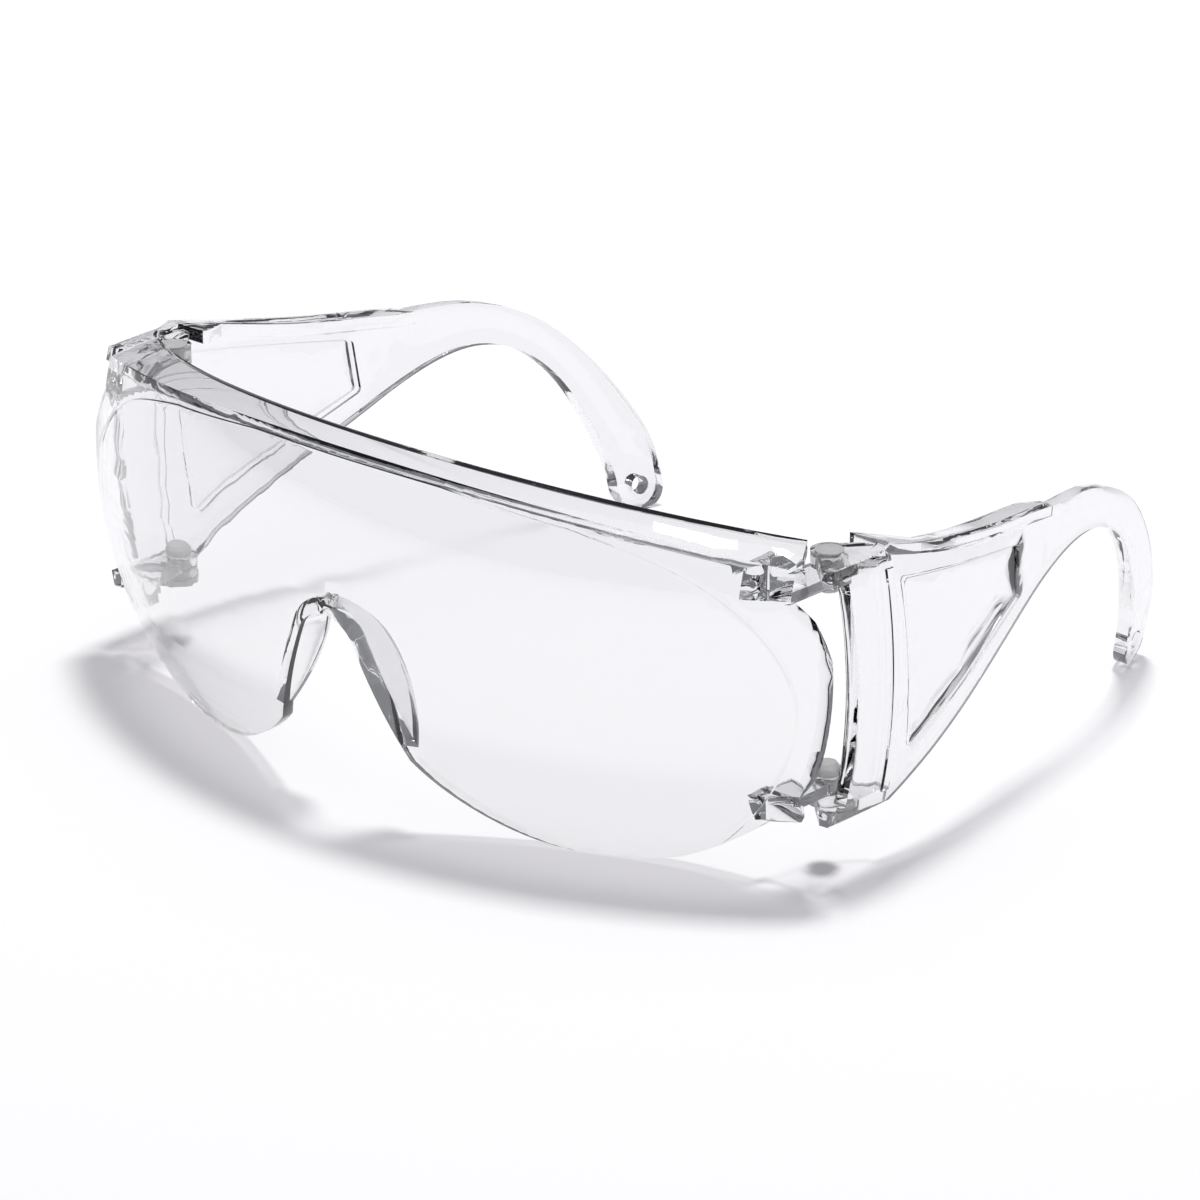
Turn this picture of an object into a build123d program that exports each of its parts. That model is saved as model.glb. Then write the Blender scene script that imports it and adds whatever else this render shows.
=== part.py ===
"""Over-spectacles safety glasses: one wrap-round lens, two side-shield temples, four hinge pins.

Millimetres. +Z is up and +Y runs from the lens back to the ear hooks. X = 0 is the plane of
symmetry, and +X is the wearer's left. The glasses stand open on Z = 0, on the two lens lobes
and the two temple tips. The parts are drawn with the hinge pins at Y = 0, and move forward by
body_centre_y when they are written, so that the origin is the middle of the whole footprint.
"""
import os
from math import cos, radians, sin, tan

from build123d import *

os.makedirs("parts", exist_ok=True)

# ---- lens shell: a toric surface, curved more strongly up and down than round the face
wrap_radius = 124.0         # plan radius of the front surface
drop_radius = 73.0          # radius of the front surface in side view
apex_y = -38.4              # most forward point of the front surface
apex_z = 35.0
lens_wall = 2.2
panel_step = 0.5            # the oval front panel stands this far proud of the rim
trim_y = -9.4               # plane where the sides of the lens end

# ---- lens outline, seen from the front
brow_z = 59.6               # top of the lens at its middle
brow_arch_radius = 249.0
side_x = 80.0               # widest half width, and its height
side_z = 34.0
corner_x = 68.0             # where the brow turns down into the side
heel_x = 72.0               # where the side turns in under the hinge
heel_z = 13.6
sole_x = 57.5               # the lobe's outer underside
sole_z = 3.0
lobe_x = 41.0               # lowest point of each lobe, on Z = 0
instep_x = 24.8             # the lobe's inner underside
instep_z = 4.0
toe_x = 13.4                # where the lobe meets the nose cut
toe_z = 12.1
throat_x = 10.05            # inside the nose cut, which removes it
throat_z = 16.12
shoulder_x = 48.0           # a point of the brow arch between its middle and its corner
panel_inset = 6.0           # from the side of the lens to the side of the oval panel
panel_brow_share = 0.12     # the same inset at the brow, the brow's corner, the heel and the underside,
panel_corner_share = 0.8    # as shares of panel_inset
panel_corner_drop_share = 0.35
panel_heel_share = 0.55
panel_sole_share = 0.15

# ---- brow guard, the ledge that runs back from the top of the lens
ledge_wall = 2.2
ledge_depth = 10.6
ledge_slope = 7.5           # degrees, rising backwards
brow_half_width = 78.0      # the ledge is drawn this wide, then cut to the lens and the hinges

# ---- nose bridge
nose_radius = 6.2
nose_z = 27.8               # centre of the arch
nose_half_angle = 23.5      # each side leans out by this much
nose_wall = 2.3
nose_depth = 8.6            # greatest reach behind the front surface
nose_depth_z = 24.0         # height of the greatest reach
nose_depth_radius = 19.0    # side view radius of the flange's rear edge

# ---- hinges
hinge_x = 70.0              # pins stand at X = +-hinge_x, Y = 0
upper_plate_top = 51.8      # temple's upper hinge plate
lower_plate_bottom = 10.0   # temple's lower hinge plate
plate_wall = 2.5
knuckle_radius = 3.0
lug_wall = 1.9              # eye on the lens that the pin runs in
lug_root = 4.5              # how far inboard of the pin an eye's root reaches on the lens
axial_gap = 0.3             # between temple plate and lens eye
pin_radius = 1.9
pin_running_gap = 0.08      # radial, pin in lens eye
pin_head_radius = 2.3
pin_head_length = 0.9
pin_bead_radius = 2.15      # snap bead past the lens eye
pin_bead_length = 1.7
pin_bead_gap = 0.3          # axial, bead to lens eye
pin_tip_radius = 1.52       # lead-in of the snap bead
pocket_gap = 0.45           # between brow guard and temple plate, in plan
plate_front_x = 5.2         # front inner corner of a plate, from the pin
plate_front_y = -8.0
plate_back_y = 7.0

# ---- temples
temple_wall = 2.4
temple_front_y = -4.4
pane_recess = 0.5           # the shield's thin pane is sunk by this on both faces
pane_corner = 1.0
rim_wall = 2.2              # top flange of the shield
rim_plan = [(68.5, 4.0), (69.5, 8.0), (73.6, 15.0), (69.2, 36.0), (66.6, 50.0), (67.6, 58.0)]  # its inner edge
rib_y = 4.0                 # upright rib just behind the hinge
rib_width = 1.6
rib_height = 0.5
hook_tip_y = 96.2           # centre of the round tip
hook_tip_radius = 4.3
cord_hole_radius = 1.6

# ---- working volumes, larger than the glasses
body_half_height = 48.0
sheet_low = -4.0
sheet_waist = 31.0
sheet_high = 64.0
reach = 60.0
body_centre_y = (apex_y + hook_tip_y + hook_tip_radius) / 2

# ---- hinge heights
upper_plate_low = upper_plate_top - plate_wall
upper_lug_low = upper_plate_low - axial_gap - lug_wall
lower_lug_low = lower_plate_bottom + plate_wall + axial_gap


def write(part, name):
    placed = part.moved(Location((0, -body_centre_y, 0)))
    placed.label = name
    export_step(placed, f"parts/{name}.step")


# ---- everything behind the lens surface, sunk by an inset
def toric_body(inset):
    half = body_half_height
    drop = drop_radius - inset
    bulge = wrap_radius - inset
    back = bulge - drop + (drop ** 2 - half ** 2) ** 0.5
    core = back - reach / 2
    with BuildPart(mode=Mode.PRIVATE) as body:
        with BuildSketch(Plane.XZ):
            with BuildLine():
                ThreePointArc((back, apex_z + half), (bulge, apex_z), (back, apex_z - half))
                Polyline((back, apex_z - half), (core, apex_z - half), (core, apex_z + half), (back, apex_z + half))
            make_face()
        revolve(axis=Axis.Z, revolution_arc=360)
    return body.part.moved(Location((0, apex_y + wrap_radius, 0)))


def arch_drop(x):
    return brow_arch_radius - (brow_arch_radius ** 2 - x ** 2) ** 0.5


# ---- nose cut-out seen from the front, grown by an offset
def nose_prism(offset, foot_z):
    lean = radians(nose_half_angle)
    radius = nose_radius + offset
    side = (radius * cos(lean), nose_z + radius * sin(lean))
    foot = (side[0] + (side[1] - foot_z) * tan(lean), foot_z)
    with BuildPart(mode=Mode.PRIVATE) as prism:
        with BuildSketch(Plane.XZ):
            with BuildLine():
                Line((-foot[0], foot[1]), (-side[0], side[1]))
                ThreePointArc((-side[0], side[1]), (0, nose_z + radius), side)
                Line(side, foot)
                Line(foot, (-foot[0], foot[1]))
            make_face()
        extrude(amount=reach, both=True)
    return prism.part


# ---- lens outline as a prism along Y; an inset shrinks it to the oval panel, which runs out under the lobes
def lens_prism(inset):
    top = brow_z - inset * panel_brow_share
    below = inset * panel_sole_share
    foot = (lobe_x, -below)
    heel = (heel_x - inset * panel_heel_share, heel_z)
    sole = (sole_x, sole_z - below)
    instep = (instep_x, instep_z - below)
    toe = (toe_x, toe_z - below)
    throat = (throat_x, throat_z)
    corner = (corner_x - inset * panel_corner_share,
              brow_z - arch_drop(corner_x) - inset * panel_corner_drop_share)
    shoulder = (shoulder_x, top - arch_drop(shoulder_x))
    with BuildPart(mode=Mode.PRIVATE) as prism:
        with BuildSketch(Plane.XZ):
            with BuildLine():
                Spline([(0, top), shoulder, corner, (side_x - inset, side_z), heel, sole, foot],
                       tangents=[(1, 0), (-1, 0)])
                Spline([foot, instep, toe, throat], tangents=[(-1, 0), (-0.8, 1.0)])
                Line(throat, (0, throat[1]))
                Line((0, throat[1]), (0, top))
            make_face()
            mirror(about=Plane.YZ)
        extrude(amount=reach, both=True)
    return prism.part


outer_body = toric_body(0)
rim_body = toric_body(panel_step)
inner_body = toric_body(lens_wall)


def rim_skin():
    with BuildPart(mode=Mode.PRIVATE) as skin:
        add(outer_body)
        add(rim_body, mode=Mode.SUBTRACT)
        add(lens_prism(panel_inset), mode=Mode.SUBTRACT)
    return skin.part


# ---- brow guard: a sheet along the brow, cut off at its depth behind the front surface
def brow_sheet():
    span = brow_half_width
    low = brow_z - arch_drop(span)
    with BuildPart(mode=Mode.PRIVATE) as sheet:
        with BuildSketch(Plane.XZ.offset(-apex_y)):
            with BuildLine():
                ThreePointArc((-span, low), (0, brow_z), (span, low))
                ThreePointArc((-span, low - ledge_wall), (0, brow_z - ledge_wall), (span, low - ledge_wall))
                Line((-span, low), (-span, low - ledge_wall))
                Line((span, low), (span, low - ledge_wall))
            make_face()
        extrude(amount=reach, dir=(0, cos(radians(ledge_slope)), sin(radians(ledge_slope))))
    return sheet.part


def brow_plan():
    with BuildPart(mode=Mode.PRIVATE) as plan:
        with BuildSketch(Plane.XY.offset(brow_z - reach / 2)):
            with Locations((0, apex_y + wrap_radius)):
                Circle(wrap_radius + ledge_depth)
                Circle(wrap_radius - ledge_depth, mode=Mode.SUBTRACT)
            with Locations((0, apex_y)):
                Rectangle(2 * hinge_x + 4, 2 * hinge_x, mode=Mode.INTERSECT)
        extrude(amount=reach)
    return plan.part


# ---- room for the temple's upper plate beside the brow guard
def plate_pocket(side):
    inner = side * (hinge_x - knuckle_radius - pocket_gap)
    elbow = side * (hinge_x + plate_front_x - knuckle_radius - pocket_gap)
    with BuildPart(mode=Mode.PRIVATE) as pocket:
        with BuildSketch(Plane.XY.offset(upper_plate_low - axial_gap)):
            with Locations((side * hinge_x, 0)):
                Circle(knuckle_radius + pocket_gap)
            with BuildLine():
                Polyline((inner, 0), (elbow, plate_front_y - pocket_gap),
                         (side * (hinge_x + plate_front_x), plate_front_y - 2 * pocket_gap),
                         (side * (hinge_x + reach), plate_front_y - 2 * pocket_gap),
                         (side * (hinge_x + reach), reach), (inner, reach), close=True)
            make_face()
        extrude(amount=reach / 3)
    return pocket.part


def brow_guard():
    with BuildPart(mode=Mode.PRIVATE) as guard:
        add(brow_sheet())
        add(brow_plan(), mode=Mode.INTERSECT)
        add(rim_body, mode=Mode.INTERSECT)
        for side in (1, -1):
            add(plate_pocket(side), mode=Mode.SUBTRACT)
    return guard.part


# ---- eye on the lens: a flat lug from the wall back to the pin, on a block that ends in front of the
# temple's hinge plate
def lens_eye(low, side, block_low, block_high):
    root = side * (hinge_x - lug_root)
    outer = side * (hinge_x + knuckle_radius)
    block_y = plate_front_y - 2 * pocket_gap
    with BuildPart(mode=Mode.PRIVATE) as eye:
        with BuildSketch(Plane.XY.offset(low)):
            with Locations((side * hinge_x, 0)):
                Circle(knuckle_radius)
            with BuildLine():
                Polyline((outer, 0), (outer, apex_y), (root, apex_y), (root, trim_y - knuckle_radius),
                         (side * (hinge_x - knuckle_radius), 0), close=True)
            make_face()
        extrude(amount=lug_wall)
        with BuildSketch(Plane.XY.offset(block_low)):
            with BuildLine():
                Polyline((outer, block_y), (outer, apex_y), (root, apex_y), (root, block_y), close=True)
            make_face()
        extrude(amount=block_high - block_low)
        add(rim_body, mode=Mode.INTERSECT)
    return eye.part


def hinge_eyes():
    with BuildPart(mode=Mode.PRIVATE) as eyes:
        for side in (1, -1):
            add(lens_eye(lower_lug_low, side, lower_plate_bottom, lower_lug_low + lug_wall))
            add(lens_eye(upper_lug_low, side, upper_lug_low, upper_plate_top))
    return eyes.part


# ---- nose bridge: a flange behind the cut, its rear edge a curve in side view
def nose_flange():
    with BuildPart(mode=Mode.PRIVATE) as flange:
        add(nose_prism(nose_wall, 0))
        add(outer_body, mode=Mode.INTERSECT)
        with BuildSketch(Plane.YZ.offset(-reach / 2)):
            with Locations((apex_y + nose_depth - nose_depth_radius, nose_depth_z)):
                Circle(nose_depth_radius)
        extrude(amount=reach, mode=Mode.INTERSECT)
    return flange.part


# ================= lens =================
with BuildPart() as lens:
    # wall, trimmed square in front of the temples
    add(outer_body)
    add(inner_body, mode=Mode.SUBTRACT)
    add(lens_prism(0), mode=Mode.INTERSECT)
    with BuildSketch(Plane.XY.offset(-reach)):
        with Locations((0, trim_y - reach / 2)):
            Rectangle(4 * reach, reach)
    extrude(amount=3 * reach, mode=Mode.INTERSECT)
    add(rim_skin(), mode=Mode.SUBTRACT)
    add(brow_guard())
    add(nose_flange())
    add(nose_prism(0, -reach), mode=Mode.SUBTRACT)
    add(hinge_eyes())
    # pin holes through the eyes
    with BuildSketch(Plane.XY):
        with Locations((hinge_x, 0), (-hinge_x, 0)):
            Circle(pin_radius + pin_running_gap)
    extrude(amount=upper_plate_low, mode=Mode.SUBTRACT)
write(lens.part, "lens")


# ================= temple, wearer's left =================
# plan curves of the outer face at three heights: it bows out at the shield, toes in towards the
# ear and leans in at the hook
low_curve = [(71.6, -12.0), (72.6, 8.0), (70.5, 44.0), (62.5, 70.0), (51.6, 102.0)]
waist_curve = [(79.7, -12.0), (79.0, 8.0), (72.0, 44.0), (66.3, 70.0), (59.6, 102.0)]
high_curve = [(72.6, -12.0), (74.2, 8.0), (73.5, 44.0), (69.8, 70.0), (67.0, 102.0)]
section_curves = ((sheet_low, low_curve), (sheet_waist, waist_curve), (sheet_high, high_curve))


def temple_sheet(outer_inset, inner_inset):
    """Sheet of the temple between two insets from its outer face."""
    with BuildPart(mode=Mode.PRIVATE) as sheet:
        for height, curve in section_curves:
            outer = [(x - outer_inset, y) for x, y in curve]
            inner = [(x - inner_inset, y) for x, y in curve]
            leave = (outer[-1][0] - outer[-2][0], outer[-1][1] - outer[-2][1])
            with BuildSketch(Plane.XY.offset(height)):
                with BuildLine():
                    Spline(outer, tangents=[(0, 1), leave])
                    Line(outer[-1], inner[-1])
                    Spline(inner, tangents=[(0, 1), leave])
                    Line(inner[0], outer[0])
                make_face()
        loft()
    return sheet.part


# side view of the temple, as (y, z)
rim_start = (6.0, 52.6)
top_line = [rim_start, (20.0, 49.2), (36.0, 46.2), (55.0, 43.4), (67.0, 42.2)]
hook_outer = [top_line[-1], (85.0, 33.2), (97.8, 16.4), (hook_tip_y + hook_tip_radius, hook_tip_radius)]
hook_inner = [(hook_tip_y - hook_tip_radius, hook_tip_radius), (90.0, 12.8), (84.0, 25.0), (75.5, 32.4),
              (65.0, 34.6), (54.0, 32.0), (45.0, 28.0)]
shield_heel = [(13.0, 13.0), (plate_back_y, lower_plate_bottom)]
pane_corners = [(8.2, 46.6), (43.0, 40.8), (44.2, 31.6), (10.2, 17.6)]
rim_slope = (1, -0.24)
hook_slope = (1, -0.22)


def side_prism():
    with BuildPart(mode=Mode.PRIVATE) as prism:
        with BuildSketch(Plane.YZ):
            with BuildLine():
                Polyline(shield_heel[1], (temple_front_y, lower_plate_bottom), (temple_front_y, upper_plate_top),
                         (rim_start[0] - 2, upper_plate_top), rim_start)
                Spline(top_line, tangents=[rim_slope, hook_slope])
                Spline(hook_outer, tangents=[hook_slope, (0, -1)])
                ThreePointArc(hook_outer[-1], (hook_tip_y, 0), hook_inner[0])
                Spline(hook_inner, tangents=[(0, 1), (-1, -0.48)])
                Line(hook_inner[-1], shield_heel[0])
                Line(shield_heel[0], shield_heel[1])
            make_face()
        extrude(amount=2 * reach)
    return prism.part


# ---- top flange of the shield, fading out where the ear hook starts
def top_rim():
    under = [(y, z - rim_wall) for y, z in top_line[:-1]]
    with BuildPart(mode=Mode.PRIVATE) as rim:
        with BuildSketch(Plane.YZ):
            with BuildLine():
                Spline(top_line[:-1], tangents=[rim_slope, hook_slope])
                Line(top_line[-2], under[-1])
                Spline(under, tangents=[rim_slope, hook_slope])
                Line(under[0], top_line[0])
            make_face()
        extrude(amount=2 * reach)
        add(temple_sheet(0, reach / 4), mode=Mode.INTERSECT)
        with BuildSketch(Plane.XY):
            with BuildLine():
                Polyline(*rim_plan, (2 * reach, rim_plan[-1][1]), (2 * reach, rim_plan[0][1]), close=True)
            make_face()
        extrude(amount=2 * reach, mode=Mode.INTERSECT)
    return rim.part


def rear_rib():
    with BuildPart(mode=Mode.PRIVATE) as rib:
        add(temple_sheet(-rib_height, temple_wall))
        with BuildSketch(Plane.XZ.offset(-rib_y - rib_width)):
            with Locations((hinge_x, (upper_plate_top + lower_plate_bottom) / 2)):
                Rectangle(reach, upper_plate_top - lower_plate_bottom - 2 * plate_wall)
        extrude(amount=rib_width, mode=Mode.INTERSECT)
    return rib.part


def pane_prism(grow):
    with BuildPart(mode=Mode.PRIVATE) as prism:
        with BuildSketch(Plane.YZ):
            with BuildLine():
                FilletPolyline(*pane_corners, radius=pane_corner, close=True)
            make_face()
            offset(amount=grow)
        extrude(amount=2 * reach)
    return prism.part


def pane():
    with BuildPart(mode=Mode.PRIVATE) as sheet:
        add(temple_sheet(pane_recess, temple_wall - pane_recess))
        add(pane_prism(pane_recess), mode=Mode.INTERSECT)
    return sheet.part


def hinge_plate(low):
    with BuildPart(mode=Mode.PRIVATE) as plate:
        with BuildSketch(Plane.XY.offset(low)):
            with Locations((hinge_x, 0)):
                Circle(knuckle_radius)
            with BuildLine():
                Polyline((hinge_x, -knuckle_radius), (hinge_x + plate_front_x, plate_front_y),
                         (hinge_x + reach, plate_front_y + plate_wall), (hinge_x + reach, plate_back_y),
                         (hinge_x + knuckle_radius, plate_back_y), (hinge_x - knuckle_radius, 0), close=True)
            make_face()
        extrude(amount=plate_wall)
        add(temple_sheet(0, reach / 2), mode=Mode.INTERSECT)
    return plate.part


with BuildPart() as temple_left:
    add(temple_sheet(0, temple_wall))
    add(side_prism(), mode=Mode.INTERSECT)
    add(top_rim())
    add(rear_rib())
    add(pane_prism(0), mode=Mode.SUBTRACT)
    add(pane())
    # hinge plates, with the holes that the pins are pressed into
    for low in (lower_plate_bottom, upper_plate_low):
        add(hinge_plate(low))
    with BuildSketch(Plane.XY):
        with Locations((hinge_x, 0)):
            Circle(pin_radius)
    extrude(amount=reach, mode=Mode.SUBTRACT)
    for seat in (lower_plate_bottom, upper_plate_top - pin_head_length):
        with BuildSketch(Plane.XY.offset(seat)):
            with Locations((hinge_x, 0)):
                Circle(pin_head_radius)
        extrude(amount=pin_head_length, mode=Mode.SUBTRACT)
    # neck-cord hole through the tip
    with BuildSketch(Plane.YZ):
        with Locations((hook_tip_y, hook_tip_radius)):
            Circle(cord_hole_radius)
    extrude(amount=2 * reach, mode=Mode.SUBTRACT)
write(temple_left.part, "temple_left")

with BuildPart() as temple_right:
    mirror(temple_left.part, about=Plane.YZ)
write(temple_right.part, "temple_right")


# ================= hinge pins =================
def hinge_pin(side, outer_face, inward):
    """Headed pin from the plate's outer face towards the middle of the hinge, with a snap bead."""
    shank = plate_wall + axial_gap + lug_wall + pin_bead_gap
    tip = shank + pin_bead_length
    with BuildPart() as pin:
        with BuildSketch(Plane.XZ):
            with BuildLine():
                Polyline((0, 0), (pin_head_radius, 0), (pin_head_radius, pin_head_length),
                         (pin_radius, pin_head_length), (pin_radius, shank), (pin_bead_radius, shank),
                         (pin_bead_radius, (shank + tip) / 2), (pin_tip_radius, tip), (0, tip), close=True)
            make_face()
        revolve(axis=Axis.Z)
    turn = 0 if inward > 0 else 180
    return pin.part.moved(Location((side * hinge_x, 0, outer_face), (turn, 0, 0)))


for side_name, side in (("left", 1), ("right", -1)):
    for level, outer_face, inward in (("upper", upper_plate_top, -1), ("lower", lower_plate_bottom, 1)):
        write(hinge_pin(side, outer_face, inward), f"hinge_pin_{level}_{side_name}")
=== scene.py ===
"""Clear over-spectacles safety glasses, standing open on a pale floor. Metres."""
import math

import bpy
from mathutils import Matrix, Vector


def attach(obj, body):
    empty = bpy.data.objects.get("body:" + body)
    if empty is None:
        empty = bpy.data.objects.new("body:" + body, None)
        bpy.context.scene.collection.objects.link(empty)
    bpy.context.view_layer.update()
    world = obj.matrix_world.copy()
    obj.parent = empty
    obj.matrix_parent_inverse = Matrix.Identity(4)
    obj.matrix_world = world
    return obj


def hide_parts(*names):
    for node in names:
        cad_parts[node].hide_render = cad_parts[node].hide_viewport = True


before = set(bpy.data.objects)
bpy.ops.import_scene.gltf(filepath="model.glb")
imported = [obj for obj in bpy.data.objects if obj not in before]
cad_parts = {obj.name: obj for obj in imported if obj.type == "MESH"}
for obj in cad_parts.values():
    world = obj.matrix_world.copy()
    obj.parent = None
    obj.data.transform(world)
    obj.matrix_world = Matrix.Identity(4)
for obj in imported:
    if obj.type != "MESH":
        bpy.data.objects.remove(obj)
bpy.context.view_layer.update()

# ================= lens =================
# One clear polycarbonate injection moulding: the wrap lens, the brow guard, the nose bridge and
# the hinge eyes. It is polished all over, and its rims are left slightly round by the mould, so
# it shows as thin dark and bright lines with almost nothing between them.
clear_edge = 0.00035
merge_gap = 0.000004
polycarbonate_ior = 1.585
haze_scale = 180.0
ripple_depth = 0.0002

# faint haze in the gloss, and the slow ripple that plastic keeps from flowing into the mould
haze = bpy.data.node_groups.new("moulded_haze", "ShaderNodeTree")
haze.interface.new_socket("Scale", in_out="INPUT", socket_type="NodeSocketFloat")
haze.interface.new_socket("Low", in_out="INPUT", socket_type="NodeSocketFloat")
haze.interface.new_socket("High", in_out="INPUT", socket_type="NodeSocketFloat")
haze.interface.new_socket("Roughness", in_out="OUTPUT", socket_type="NodeSocketFloat")
haze.interface.new_socket("Ripple", in_out="OUTPUT", socket_type="NodeSocketFloat")
haze_in = haze.nodes.new("NodeGroupInput")
haze_out = haze.nodes.new("NodeGroupOutput")
haze_place = haze.nodes.new("ShaderNodeTexCoord")
haze_fine = haze.nodes.new("ShaderNodeTexNoise")
haze_fine.inputs["Detail"].default_value = 5.0
haze_fine.inputs["Roughness"].default_value = 0.6
haze_span = haze.nodes.new("ShaderNodeMapRange")
haze_span.inputs["From Min"].default_value = 0.35
haze_span.inputs["From Max"].default_value = 0.75
haze_flow = haze.nodes.new("ShaderNodeTexNoise")
haze_flow.inputs["Scale"].default_value = 14.0
haze_flow.inputs["Detail"].default_value = 1.0
haze.links.new(haze_place.outputs["Object"], haze_fine.inputs["Vector"])
haze.links.new(haze_in.outputs["Scale"], haze_fine.inputs["Scale"])
haze.links.new(haze_fine.outputs["Fac"], haze_span.inputs["Value"])
haze.links.new(haze_in.outputs["Low"], haze_span.inputs["To Min"])
haze.links.new(haze_in.outputs["High"], haze_span.inputs["To Max"])
haze.links.new(haze_place.outputs["Object"], haze_flow.inputs["Vector"])
haze.links.new(haze_span.outputs["Result"], haze_out.inputs["Roughness"])
haze.links.new(haze_flow.outputs["Fac"], haze_out.inputs["Ripple"])


def moulded(name, tint, low, high, ripple, transmission, ior):
    """Moulded plastic whose gloss varies a little over the surface."""
    material = bpy.data.materials.new(name)
    material.use_nodes = True
    nodes = material.node_tree.nodes
    shader = nodes["Principled BSDF"]
    shader.inputs["Base Color"].default_value = (*tint, 1)
    shader.inputs["Transmission Weight"].default_value = transmission
    shader.inputs["IOR"].default_value = ior
    effect = nodes.new("ShaderNodeGroup")
    effect.node_tree = haze
    effect.inputs["Scale"].default_value = haze_scale
    effect.inputs["Low"].default_value = low
    effect.inputs["High"].default_value = high
    bump = nodes.new("ShaderNodeBump")
    bump.inputs["Strength"].default_value = ripple
    bump.inputs["Distance"].default_value = ripple_depth
    material.node_tree.links.new(effect.outputs["Roughness"], shader.inputs["Roughness"])
    material.node_tree.links.new(effect.outputs["Ripple"], bump.inputs["Height"])
    material.node_tree.links.new(bump.outputs["Normal"], shader.inputs["Normal"])
    return material


def clear_shadow(material, through_face, through_edge):
    """Lets lamps through a clear wall: nearly all of the light face on, little of it at an edge."""
    nodes = material.node_tree.nodes
    links = material.node_tree.links
    slope = nodes.new("ShaderNodeLayerWeight")
    slope.inputs["Blend"].default_value = 0.35
    dimmed = nodes.new("ShaderNodeMix")
    dimmed.data_type = "RGBA"
    face_side, edge_side = dimmed.inputs[6], dimmed.inputs[7]  # the colour sockets, A and B
    face_side.default_value = (*through_face, 1)
    edge_side.default_value = (*through_edge, 1)
    window = nodes.new("ShaderNodeBsdfTransparent")
    path = nodes.new("ShaderNodeLightPath")
    for_lamps = nodes.new("ShaderNodeMixShader")
    for_floor = nodes.new("ShaderNodeMixShader")
    links.new(slope.outputs["Facing"], dimmed.inputs[0])
    links.new(dimmed.outputs[2], window.inputs["Color"])
    links.new(path.outputs["Is Shadow Ray"], for_lamps.inputs["Fac"])
    links.new(nodes["Principled BSDF"].outputs["BSDF"], for_lamps.inputs[1])
    links.new(window.outputs["BSDF"], for_lamps.inputs[2])
    links.new(path.outputs["Is Diffuse Ray"], for_floor.inputs["Fac"])
    links.new(for_lamps.outputs["Shader"], for_floor.inputs[1])
    links.new(window.outputs["BSDF"], for_floor.inputs[2])
    links.new(for_floor.outputs["Shader"], nodes["Material Output"].inputs["Surface"])


def finished_copy(node, name, body, material, edge):
    """A CAD node's shape, merged, with its sharp edges softened and its curved faces smooth."""
    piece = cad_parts[node].copy()
    piece.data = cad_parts[node].data.copy()
    for key in list(piece.keys()):
        del piece[key]
    piece.name = name
    piece.parent = None
    bpy.context.scene.collection.objects.link(piece)
    bpy.ops.object.select_all(action="DESELECT")
    piece.select_set(True)
    bpy.context.view_layer.objects.active = piece
    bpy.ops.object.mode_set(mode="EDIT")
    bpy.ops.mesh.select_all(action="SELECT")
    bpy.ops.mesh.remove_doubles(threshold=merge_gap)
    bpy.ops.object.mode_set(mode="OBJECT")
    soften = piece.modifiers.new("edge", "BEVEL")
    soften.width = edge
    soften.segments = 3
    soften.limit_method = "ANGLE"
    soften.angle_limit = math.radians(40)
    bpy.ops.object.modifier_apply(modifier=soften.name)
    bpy.ops.object.shade_smooth_by_angle(angle=math.radians(28))
    piece.data.materials.clear()
    piece.data.materials.append(material)
    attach(piece, body)
    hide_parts(node)


clear_lens = moulded("clear_lens", (0.892, 0.892, 0.898), 0.0, 0.03, 0.04, 1.0, polycarbonate_ior)
clear_shadow(clear_lens, (0.985, 0.98, 0.985), (0.2, 0.185, 0.2))
finished_copy("lens", "lens_moulding", "lens", clear_lens, clear_edge)

# ================= temples =================
# Two clear polycarbonate mouldings, left and right, each with its hinge head, side shield and ear
# hook in one. They are pinned to the lens, and their moulded skin is a little hazier than the lens.
clear_temple = moulded("clear_temple", (0.885, 0.882, 0.89), 0.0, 0.04, 0.05, 1.0, polycarbonate_ior)
clear_shadow(clear_temple, (0.985, 0.98, 0.985), (0.3, 0.285, 0.3))
for side in ("left", "right"):
    finished_copy(f"temple_{side}", f"temple_moulding_{side}", f"temple_{side}",
                  clear_temple, clear_edge)

# ================= hinge pins =================
# Four small headed snap pins of natural nylon, milky and slightly warm, matt beside the clear
# plastic. Each is pressed through a temple's hinge plate and turns in the lens's eye.
pin_edge = 0.00012
nylon_ior = 1.53
milky_pin = moulded("milky_pin", (0.93, 0.92, 0.90), 0.3, 0.45, 0.1, 0.45, nylon_ior)
for side in ("left", "right"):
    for level in ("upper", "lower"):
        finished_copy(f"hinge_pin_{level}_{side}", f"snap_pin_{level}_{side}", f"temple_{side}",
                      milky_pin, pin_edge)

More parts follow.
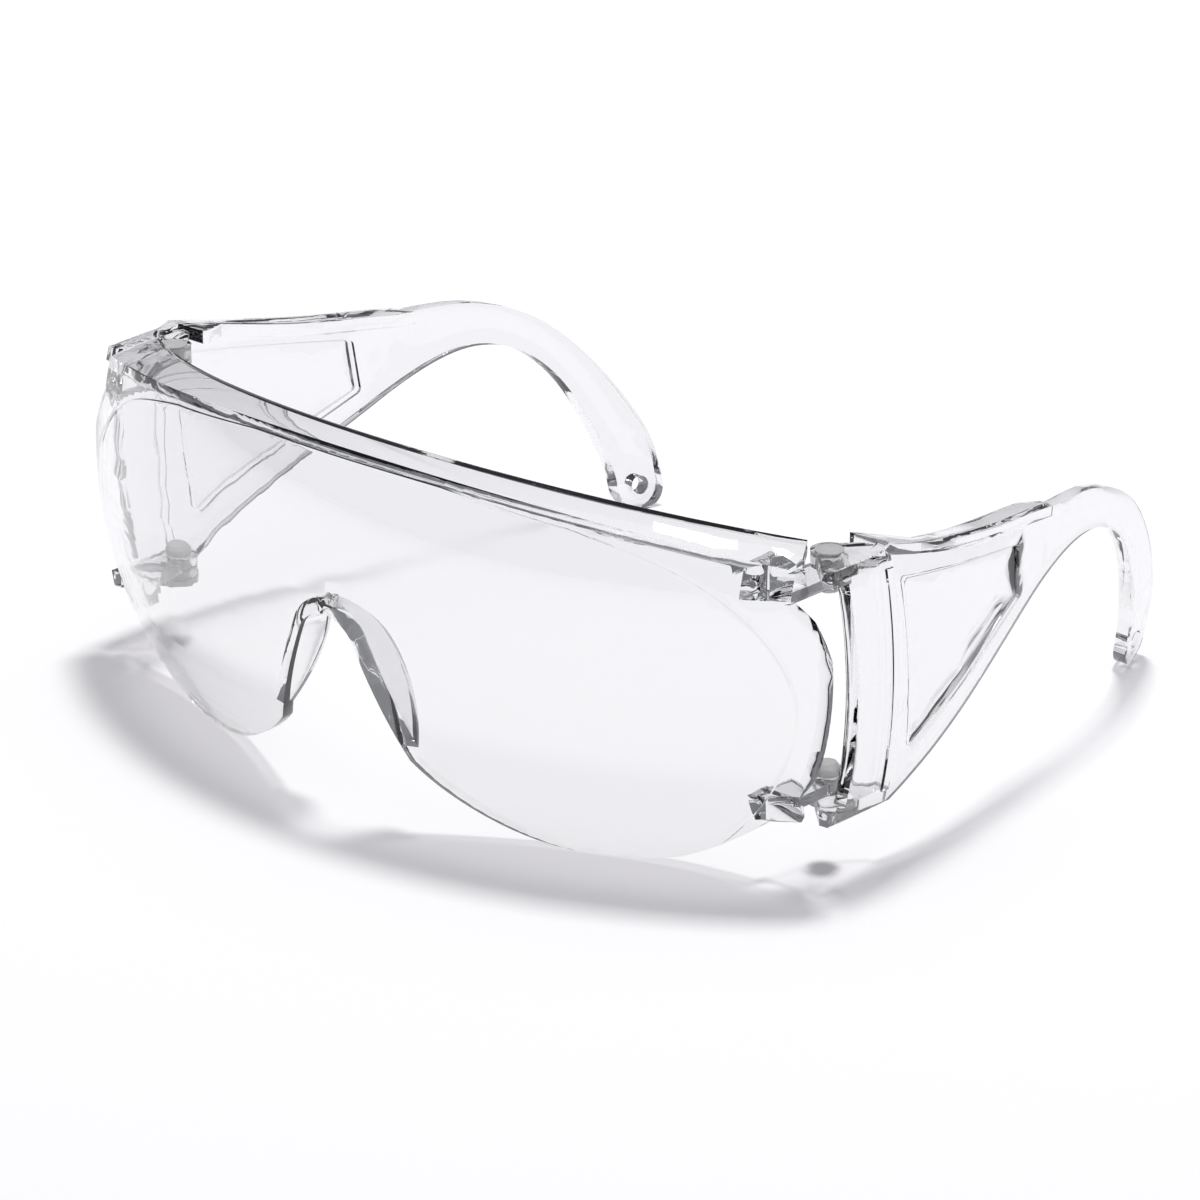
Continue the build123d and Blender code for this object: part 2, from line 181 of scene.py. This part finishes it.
# ================= floor =================
# A seamless white paper sweep, evenly lit, so that it stays near white all round the glasses.
bpy.ops.object.select_all(action="DESELECT")
bpy.ops.mesh.primitive_plane_add(size=6)
floor = bpy.context.object
floor.name = "floor"
paper = bpy.data.materials.new("floor_paper")
paper.use_nodes = True
paper_shader = paper.node_tree.nodes["Principled BSDF"]
paper_shader.inputs["Base Color"].default_value = (0.95, 0.95, 0.955, 1)
paper_shader.inputs["Roughness"].default_value = 0.9
paper_shader.inputs["Specular IOR Level"].default_value = 0.1
paper_shader.inputs["Emission Color"].default_value = (1, 1, 1, 1)
paper_shader.inputs["Emission Strength"].default_value = 0.12
floor.data.materials.append(paper)

# ================= light =================
# A wide softbox overhead and a small one high behind, which keeps the shadow close under the lens,
# in a dim cool room that gives the clear edges something dark to show.
world = bpy.data.worlds.new("room")
bpy.context.scene.world = world
world.use_nodes = True
world.node_tree.nodes["Background"].inputs["Color"].default_value = (0.9, 0.93, 1.0, 1)
world.node_tree.nodes["Background"].inputs["Strength"].default_value = 0.2


def softbox(name, place, width, height, power, colour):
    light = bpy.data.lights.new(name, "AREA")
    light.shape = "RECTANGLE"
    light.size = width
    light.size_y = height
    light.energy = power
    light.color = colour
    lamp = bpy.data.objects.new(name, light)
    lamp.location = place
    lamp.rotation_euler = Vector(place).to_track_quat("Z", "Y").to_euler()
    bpy.context.scene.collection.objects.link(lamp)


softbox("overhead", (-0.2, 0.2, 2.0), 2.6, 2.4, 8, (1.0, 1.0, 1.0))
softbox("key_behind", (-0.19, 0.42, 1.95), 0.3, 0.3, 27, (1.0, 0.985, 1.0))

# ================= camera =================
# A long lens from the front, a little above, on the wearer's left.
azimuth = math.radians(41.6)
elevation = math.radians(21.5)
distance = 1.2804
aim = Vector((0.01387, -0.02054, 0.02566))
away = Vector((math.sin(azimuth) * math.cos(elevation), -math.cos(azimuth) * math.cos(elevation),
               math.sin(elevation)))
camera_data = bpy.data.cameras.new("camera")
camera_data.lens = 241.8
camera_data.sensor_width = 36
camera_data.clip_start = 0.05
camera = bpy.data.objects.new("camera", camera_data)
camera.location = aim + away * distance
camera.rotation_euler = away.to_track_quat("Z", "Y").to_euler()
bpy.context.scene.collection.objects.link(camera)
bpy.context.scene.camera = camera

scene = bpy.context.scene
scene.view_settings.view_transform = "Standard"
scene.view_settings.look = "None"
scene.cycles.max_bounces = 32
scene.cycles.transmission_bounces = 32
scene.cycles.transparent_max_bounces = 32
scene.cycles.glossy_bounces = 8
scene.cycles.caustics_reflective = False
scene.cycles.caustics_refractive = False
